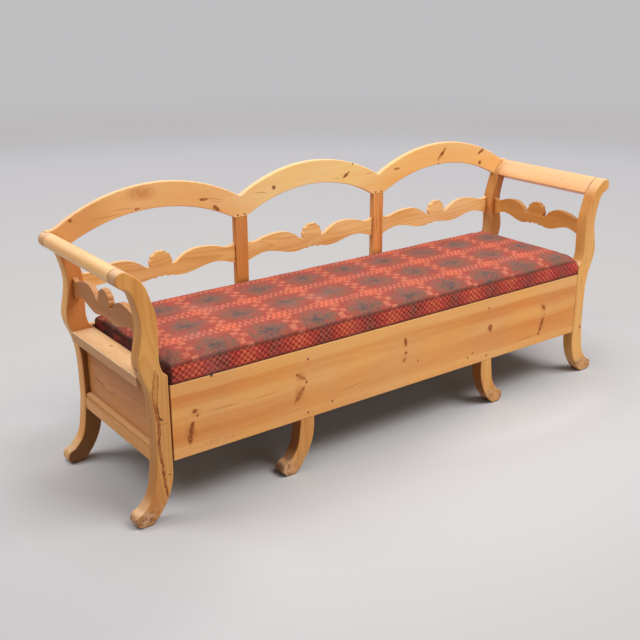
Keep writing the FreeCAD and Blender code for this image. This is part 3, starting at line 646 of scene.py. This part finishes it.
def rounded(inset, drop, radius):
    """Turns a square edge into a quarter circle: distances in from the side and down from the top."""
    a, b = radius - inset, radius - drop
    if a <= 0 or b <= 0:
        return inset, drop
    k = max(a, b) / math.hypot(a, b)
    return radius - a * k, radius - b * k


def inner_place(x, y):
    """The nearest point in plan that lies a corner radius inside the sides."""
    return (max(-HALF.x + CORNER, min(HALF.x - CORNER, x)),
            max(-HALF.y + CORNER, min(HALF.y - CORNER, y)))


def grid_place(i, j, k):
    """The place of the grid point in column i, row j and level k."""
    x = HALF.x * (2 * i / COLUMNS - 1)
    y = HALF.y * (2 * j / ROWS - 1)
    ix, iy = inner_place(x, y)
    out = Vector((x - ix, y - iy))
    z = HEIGHTS[k]
    if out.length > 1e-9:
        inset = CORNER - max(abs(out.x), abs(out.y))
        out.normalize()
        if k < LOW_LEVELS:
            inset, z = rounded(inset, z, LOW_CORNER)
        else:
            inset, drop = rounded(inset, EDGE - z, CORNER)
            z = EDGE - drop
        out *= CORNER - inset
    return ix + out.x, MIDDLE_Y + iy + out.y, BASE + z


def cushion_body():
    """A boxed cushion as one closed grid: bottom, boxing and top panel."""
    mesh = bmesh.new()
    seen = {}

    def vert(i, j, k):
        if (i, j, k) not in seen:
            seen[i, j, k] = mesh.verts.new(grid_place(i, j, k))
        return seen[i, j, k]

    def quad(*corners):
        mesh.faces.new([vert(*corner) for corner in corners])

    for i in range(COLUMNS):
        for j in range(ROWS):
            quad((i, j, 0), (i, j + 1, 0), (i + 1, j + 1, 0), (i + 1, j, 0))
            quad((i, j, LEVELS), (i + 1, j, LEVELS), (i + 1, j + 1, LEVELS), (i, j + 1, LEVELS))
    for k in range(LEVELS):
        for i in range(COLUMNS):
            quad((i, 0, k), (i + 1, 0, k), (i + 1, 0, k + 1), (i, 0, k + 1))
            quad((i, ROWS, k), (i, ROWS, k + 1), (i + 1, ROWS, k + 1), (i + 1, ROWS, k))
        for j in range(ROWS):
            quad((0, j, k), (0, j, k + 1), (0, j + 1, k + 1), (0, j + 1, k))
            quad((COLUMNS, j, k), (COLUMNS, j + 1, k), (COLUMNS, j + 1, k + 1), (COLUMNS, j, k + 1))
    made = bpy.data.meshes.new("seat_cushion_body")
    mesh.verts.index_update()
    seams = [v.index for (i, j, k), v in seen.items() if k == HEIGHTS.index(SEAM)]
    under = [v.index for (i, j, k), v in seen.items() if k == 0]
    mesh.to_mesh(made)
    mesh.free()
    return made, seams, under


def blow_up(piece, held, half_held):
    """Lets Cloth fill the cover with air and returns where its points went."""
    group = piece.vertex_groups.new(name="held")
    group.add(held, 1.0, "REPLACE")
    group.add(half_held, 0.5, "REPLACE")
    cloth = piece.modifiers.new("cloth", "CLOTH")
    c = cloth.settings
    c.quality = 4
    c.mass = 0.25
    c.tension_stiffness = c.compression_stiffness = 12.0
    c.bending_stiffness = 1.5
    c.use_pressure = True
    c.uniform_pressure_force = 4.0
    c.vertex_group_mass = "held"
    c.effector_weights.gravity = 0.0
    cloth.collision_settings.use_self_collision = False
    for f in range(1, SIM_FRAMES + 1):
        scene.frame_set(f)
    blown = piece.evaluated_get(bpy.context.evaluated_depsgraph_get())
    places = [v.co.copy() for v in blown.data.vertices]
    piece.modifiers.remove(cloth)
    scene.frame_set(1)
    return places


def outward(p):
    """How far inside the sides a point lies, and the way out in plan."""
    ix, iy = inner_place(p.x, p.y - MIDDLE_Y)
    out = Vector((p.x - ix, p.y - MIDDLE_Y - iy, 0.0))
    if out.length < 1e-9:
        return CORNER, out
    return CORNER - out.length, out.normalized()


def shaped(start, blown, in_seam):
    """Where a point ends: blown up but capped, crowned, with soft corners, lumps and a drawn-in seam."""
    step = blown - start
    inset, out = outward(start)
    cap = CAP_SIDES if inset < 0.003 else CAP_PANELS
    if step.length > 1e-9:
        step = step.normalized() * cap * math.tanh(step.length / cap)
    p = start + step
    height = start.z - BASE
    u = start.x / HALF.x
    w = (start.y - MIDDLE_Y) / HALF.y
    if height > EDGE - 0.001:
        p.z += CROWN * (1 - u ** 6) * (1 - w * w)
    corner = math.hypot(HALF.x - abs(start.x), HALF.y - abs(start.y - MIDDLE_Y))
    p.z -= SINK * math.exp(-(corner / 0.034) ** 2) * height / EDGE
    if start.y < MIDDLE_Y and 0.0 < height < EDGE:
        swell = SWELL_RIGHT if start.x > 0 else SWELL_LEFT
        p += out * swell * math.exp(-(corner / 0.05) ** 2) * math.sin(math.pi * min(1.0, height / 0.068))
    tall, dense = LUMPS
    lump = noise.noise(Vector((start.x * dense, start.y * dense, start.z * dense + 4))) * tall
    tall, dense = SMALL_LUMPS
    lump += noise.noise(start * dense) * tall
    if height > 0.002:
        if inset > 0.008:
            p.z += lump * 0.6
        else:
            p += out * lump * (3.6 if abs(out.x) > 0.7 else 0.9)
    gather = math.exp(-abs(height - SEAM) / 0.010) if inset < 0.013 else 0.0
    tall, dense = RIPPLES
    p.z += tall * noise.noise(Vector((start.x * dense, start.y * dense, 0.0))) * gather
    if in_seam:
        p -= out * SEAM_DEPTH
    p.z = max(p.z, BASE)
    if p.y > POSTS_Y:
        p.x = max(-POSTS_X, min(POSTS_X, p.x))
    return p


data, seam, bottom = cushion_body()
cushion = bpy.data.objects.new("seat_cushion_cover", data)
scene.collection.objects.link(cushion)
rest = [v.co.copy() for v in data.vertices]
moved = blow_up(cushion, bottom, seam)
sewn = set(seam)
for v in data.vertices:
    v.co = shaped(rest[v.index], moved[v.index], v.index in sewn)
for face in data.polygons:
    face.use_smooth = True
smooth = cushion.modifiers.new("smooth", "SUBSURF")
smooth.levels = smooth.render_levels = 1


# Woven plaid. The pattern is in mm: pitch and start of the bands along x and y, and its smallest block.

PITCH_X, PITCH_Y = 191.3, 176.0
START_X, START_Y = -55.0, 22.0
BLOCK_X, BLOCK_Y = PITCH_X / 18, 5.5
# Height of a block of the boxing, in m.
BOXING_BLOCK = 0.0098
# Colours of the boxing from the middle of a band (0) to the middle of a field (1).
BRIGHT = [(0.0, srgb(248, 130, 88)), (0.25, srgb(240, 112, 82)), (0.45, srgb(230, 94, 76)),
          (0.7, srgb(212, 88, 66)), (0.86, srgb(184, 98, 76))]
DEEP = [(0.0, srgb(178, 58, 34)), (0.3, srgb(158, 46, 32)), (0.7, srgb(130, 40, 28)),
        (0.9, srgb(100, 42, 32))]


def from_line(s, value, start, pitch):
    """Signed distance in mm to the nearest line of a row of lines."""
    t = s.plus(s.over(s.minus(value, start / 1000), pitch / 1000), 0.5)
    return s.times(s.centred(s.math("FRACT", t)), pitch)


def parity(s, a, b):
    """1 on every second square of a board whose squares are one unit."""
    total = s.plus(s.math("FLOOR", a), s.math("FLOOR", b))
    return s.times(s.math("FRACT", s.times(total, 0.5)), 2.0)


def block_middle(s, value, size):
    """The middle of the woven block that a distance falls in."""
    return s.times(s.plus(s.math("FLOOR", s.over(value, size)), 0.5), size)


def block_noise(s, x, y, width, height, out=0):
    """One random value (out=0) or colour (out=1) for each block."""
    block = s.join(s.math("FLOOR", s.over(x, width)), s.math("FLOOR", s.over(y, height)), 0.0)
    return s.node("TexWhiteNoise", {"Vector": block}, out=out)


def top_panel(s, p):
    """Dashed bands both ways and grey brown lozenges between them."""
    x, y, _ = s.split(s.shaken(p, 12.0, (0.006, 0.006, 0.0)))
    width, height = BLOCK_X / 1000, BLOCK_Y / 1000
    cx = from_line(s, x, START_X, PITCH_X)
    cy = from_line(s, y, START_Y, PITCH_Y)
    ax = s.size(cx)
    ay = s.size(cy)
    jitter = block_noise(s, x, y, width, height)
    tint = block_noise(s, x, y, width, height, out=1)
    ragged = s.centred(jitter)
    drifting = s.centred(s.noise(p, 38.0, 2.0))

    # a lozenge in each field, dark grey at its heart, woven in small blocks
    check = parity(s, s.over(x, width / 2), s.over(y, height))
    colour = s.mix(check, srgb(190, 84, 70), srgb(166, 80, 66))
    bx = s.over(s.minus(PITCH_X / 2, block_middle(s, ax, BLOCK_X / 2)), 82.0)
    by = s.over(s.minus(PITCH_Y / 2, block_middle(s, ay, BLOCK_Y)), 66.0)
    steps = s.plus(bx, by, s.times(ragged, 0.6), s.times(drifting, 1.3))
    brown = s.mix(check, srgb(158, 104, 84), srgb(140, 94, 80))
    colour = s.mix(s.fade(steps, 0.7, 1.6, 0.85, 0.0), colour, brown)
    colour = s.mix(s.fade(steps, 0.2, 0.85, 0.75, 0.0), colour, srgb(118, 98, 86))
    colour = s.mix(s.fade(steps, 0.0, 0.3, 0.6, 0.0), colour, srgb(80, 78, 84))
    colour = s.mix(s.fade(s.noise(p, 52.0, 1.0), 0.56, 0.7, 0.0, 0.4), colour, srgb(200, 76, 66))
    colour = s.mix(0.10, colour, tint, "OVERLAY")

    # bands along the length: two rows of slanting dashes, widest where bands cross
    rim = s.plus(s.times(ragged, 8.0), s.times(drifting, 16.0))
    slant = s.times(cy, 0.25 / 1000)
    row = parity(s, s.over(s.minus(x, slant), width), s.over(cy, 22.0))
    reach_y = s.plus(s.times_plus(ax, 0.07, ay), rim)
    band = s.fade(reach_y, 22.0, 31.0, 1.0, 0.0)
    warm = s.fade(ax, 20.0, 75.0, 1.0, 0.0)
    light = s.mix(jitter, srgb(206, 104, 82), srgb(238, 150, 122))
    light = s.mix(s.times(warm, 0.5), light, srgb(240, 126, 84))
    dash = s.mix(row, s.mix(jitter, srgb(168, 80, 66), srgb(198, 92, 72)), light)
    colour = s.mix(s.times(band, s.times_plus(warm, 0.2, 0.75)), colour, dash)

    # bands across: two columns of squares
    column = parity(s, s.over(s.times_plus(drifting, 0.006, y), 0.022), s.over(cx, 24.0))
    reach_x = s.plus(s.times_plus(ay, 0.05, ax), s.times(rim, 0.8))
    other = s.fade(reach_x, 21.0, 31.0, 1.0, 0.0)
    square = s.mix(column, srgb(186, 86, 68), s.mix(jitter, srgb(214, 108, 82), srgb(232, 144, 114)))
    colour = s.mix(s.times(other, s.times_plus(band, -0.5, 0.8)), colour, square)
    crossing = s.times(s.fade(ax, 12.0, 42.0, 1.0, 0.0), s.fade(ay, 10.0, 34.0, 1.0, 0.0))
    return s.mix(s.times(crossing, s.times_plus(row, 0.4, 0.3)), colour, srgb(244, 122, 84))


def boxing(s, p):
    """The side band: a check of blocks, brighter below the bands and redder to the right, with painted
    shade along its bottom.
    """
    x, y, z = s.split(p)
    # the check runs on round the front corners
    run = s.most(s.minus(s.minus(y, MIDDLE_Y - HALF.y), 0.012), 0.0)
    along = s.plus(x, s.times(s.math("SIGN", x), run))
    drift = s.times(s.centred(s.noise(p, 14.0, 2.0)), 0.004)
    along = s.plus(along, drift)
    up = s.plus(z, drift)
    width = BLOCK_X / 1000
    lattice = parity(s, s.over(along, width), s.over(up, BOXING_BLOCK))
    patch = block_noise(s, along, up, width, BOXING_BLOCK)
    uneven = s.times(s.centred(patch), 0.5)
    zone = s.plus(s.over(s.size(from_line(s, along, START_X, PITCH_X)), 95.0), uneven)
    share = s.times_plus(s.centred(patch), 0.5, s.times_plus(lattice, 0.8, 0.1))
    colour = s.mix(share, s.ramp(zone, DEEP), s.ramp(zone, BRIGHT))
    colour = s.mix(s.fade(patch, 0.72, 0.8, 0.0, 0.35), colour, srgb(196, 48, 56))
    colour = s.mix(s.fade(x, 0.35, 0.85, 0.0, 0.22), colour, srgb(196, 62, 76))
    # Painted shade along the bottom of the boxing.
    return s.mix(s.fade(z, BASE + 0.001, BASE + 0.013, 0.75, 0.0), colour, srgb(92, 32, 24))


def woven_plaid():
    """The cloth of the cushion: top panel, boxing, painted shade along the seam, the back edge and the
    ends, threads and sheen.
    """
    s = Shade("woven_plaid", 0.92, 0.2)
    p = s.coords()
    x, y, z = s.split(p)
    is_side = s.fade(z, BASE + SEAM - 0.0008, BASE + SEAM + 0.0008, 1.0, 0.0)
    colour = s.mix(is_side, top_panel(s, p), boxing(s, p))
    # Painted shade along the seam, where the top rolls over into the boxing.
    line = s.size(s.minus(z, BASE + SEAM + 0.002))
    colour = s.mix(s.fade(line, 0.001, 0.008, 0.5, 0.0), colour, srgb(104, 48, 34))
    # Painted shade along the back edge of the top, where it rounds away.
    back = MIDDLE_Y + HALF.y
    colour = s.mix(s.fade(y, back - 0.009, back - 0.003, 0.0, 0.6), colour, srgb(92, 44, 36))
    # Painted shade, patchy, at both ends of the cushion.
    at_end = s.fade(s.size(x), HALF.x - 0.016, HALF.x - 0.005, 0.0, 0.85)
    gloom = s.times(at_end, s.fade(s.noise(p, 16.0, 2.0), 0.62, 0.5, 0.5, 1.0))
    colour = s.mix(gloom, colour, srgb(44, 16, 20))
    thread = s.noise(s.scaled(p, 90, 420, 420), 1.0, 2.0)
    colour = s.mix(s.fade(thread, 0.35, 0.7, 0.0, 0.3), colour, srgb(70, 34, 32))
    colour = s.mix(s.fade(s.noise(p, 6.0, 3.0), 0.55, 0.8, 0.0, 0.2), colour, srgb(176, 150, 142))
    s.put(s.bsdf.inputs["Base Color"], colour)
    s.bsdf.inputs["Sheen Weight"].default_value = 0.06
    s.bsdf.inputs["Sheen Roughness"].default_value = 0.5
    per_metre = math.tau / 0.0021
    weft = s.math("SINE", s.times(s.plus(x, z), per_metre))
    weave = s.times(weft, s.math("SINE", s.times(s.plus(y, z), per_metre)))
    s.bump(s.plus(weave, s.times(thread, 1.5)), 0.6, 0.0006)
    return s.mat


data.materials.append(woven_plaid())
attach(cushion, "cushion")
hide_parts("seat_cushion")


# Floor, backdrop and world

BACKDROP = srgb(191, 190, 192)
# Distance from the bench in tens of metres and the colour that the camera sees there.
FLOOR_LEVELS = [(0.0, srgb(218, 214, 212)), (0.13, srgb(215, 211, 210)), (0.2, srgb(211, 208, 207)),
                (0.43, srgb(204, 201, 204)), (0.55, srgb(200, 198, 201)), (0.66, srgb(190, 188, 190)),
                (0.75, srgb(188, 185, 187)), (1.0, BACKDROP)]
# Centre and half sizes in mm of the spots that stand for the uneven light on the floor, and their colour.
FLOOR_SPOTS = [((1280, -230, 0), (620, 480, 2000), srgb(214, 213, 214)),
               ((-1100, 450, 0), (350, 350, 2000), srgb(211, 210, 211)),
               ((500, -420, 0), (700, 200, 2000), srgb(210, 209, 210))]


def floor_paper():
    """Lit paper near the bench, where its shadow falls, and a plain level farther out."""
    s = Shade("floor", 0.75, 0.25)
    p = s.coords()
    near = s.vector("LENGTH", s.scaled(p, 0.72, 1, 1), out=1)
    reach = s.vector("LENGTH", p, out=1)
    # Painted shade: towards the front left corner the floor is darker, in its own colour and in the level
    # seen.
    front_left = s.fade(s.spot(p, (-1350, -350, 0), (750, 600, 2000)), 0.0, 0.55)
    tone = s.mix(front_left, srgb(200, 199, 200), srgb(191, 190, 191))
    for centre, size, colour in FLOOR_SPOTS:
        tone = s.mix(s.fade(s.spot(p, centre, size), 0.0, 0.6), tone, colour)
    s.put(s.bsdf.inputs["Base Color"], tone)
    level = s.mix(front_left, s.ramp(s.over(reach, 10.0), FLOOR_LEVELS), srgb(204, 201, 202))
    wall = s.node("Emission", {"Color": level, "Strength": 1.0})
    shows = s.times(s.fade(near, 0.82, 1.5), seen_directly(s.tree))
    shader = s.node("MixShader", {0: shows, 1: s.bsdf.outputs[0], 2: wall})
    s.put(s.tree.nodes["Material Output"].inputs["Surface"], shader)
    return s.mat


def seen_directly(tree):
    """1 for rays from the camera and for reflections of them, which show the plain level."""
    path = tree.nodes.new("ShaderNodeLightPath")
    either = tree.nodes.new("ShaderNodeMath")
    either.operation = "MAXIMUM"
    tree.links.new(path.outputs["Is Camera Ray"], either.inputs[0])
    tree.links.new(path.outputs["Is Glossy Ray"], either.inputs[1])
    return either.outputs[0]


bpy.ops.mesh.primitive_circle_add(vertices=96, radius=60.0, fill_type="NGON", location=(0, 0, 0))
floor = bpy.context.object
floor.name = "floor"
floor.data.materials.append(floor_paper())

world = bpy.data.worlds.new("world")
world.use_nodes = True
scene.world = world
tree = world.node_tree
glow = tree.nodes["Background"]
glow.inputs[0].default_value = (1.0, 1.0, 1.0, 1.0)
glow.inputs[1].default_value = 0.06
backdrop = tree.nodes.new("ShaderNodeBackground")
backdrop.inputs[0].default_value = BACKDROP
choose = tree.nodes.new("ShaderNodeMixShader")
tree.links.new(seen_directly(tree), choose.inputs[0])
tree.links.new(glow.outputs[0], choose.inputs[1])
tree.links.new(backdrop.outputs[0], choose.inputs[2])
tree.links.new(choose.outputs[0], tree.nodes["World Output"].inputs[0])


# Lamps

def area(name, place, target, wide, deep, power):
    lamp = bpy.data.lights.new(name, "AREA")
    lamp.shape = "RECTANGLE"
    lamp.size = wide
    lamp.size_y = deep
    lamp.energy = power
    holder = bpy.data.objects.new(name, lamp)
    holder.location = place
    holder.rotation_euler = (Vector(target) - Vector(place)).to_track_quat("-Z", "Y").to_euler()
    scene.collection.objects.link(holder)


area("key", (1.7, -2.8, 5.0), (0.0, 0.0, 0.2), 3.4, 2.4, 228.0)
area("overhead", (-0.9, 0.5, 5.4), (0.0, 0.0, 0.0), 5.0, 4.0, 160.0)
area("left", (-3.3, 1.9, 4.1), (-0.4, 0.0, 0.1), 2.4, 2.0, 88.0)
area("front", (0.4, -5.2, 1.1), (-0.3, 0.0, 0.5), 3.6, 1.6, 34.0)


# Camera, fitted to the photo by least squares: focal length in pixels, then place, pan, tilt and roll

FOCAL_PX = 952.555
PHOTO_PX = 640.0
PLACE = (-2.04934, -2.54730, 1.54593)
PAN, TILT, ROLL = -0.638758, -0.348783, -0.001606
cam_data = bpy.data.cameras.new("camera")
cam_data.sensor_width = 36.0
cam_data.lens = FOCAL_PX * cam_data.sensor_width / PHOTO_PX
cam = bpy.data.objects.new("camera", cam_data)
scene.collection.objects.link(cam)
cam.matrix_world = (Matrix.Translation(PLACE)
                    @ Matrix.Rotation(PAN, 4, "Z")
                    @ Matrix.Rotation(math.pi / 2 + TILT, 4, "X")
                    @ Matrix.Rotation(ROLL, 4, "Z"))
scene.camera = cam

scene.view_settings.view_transform = "Standard"
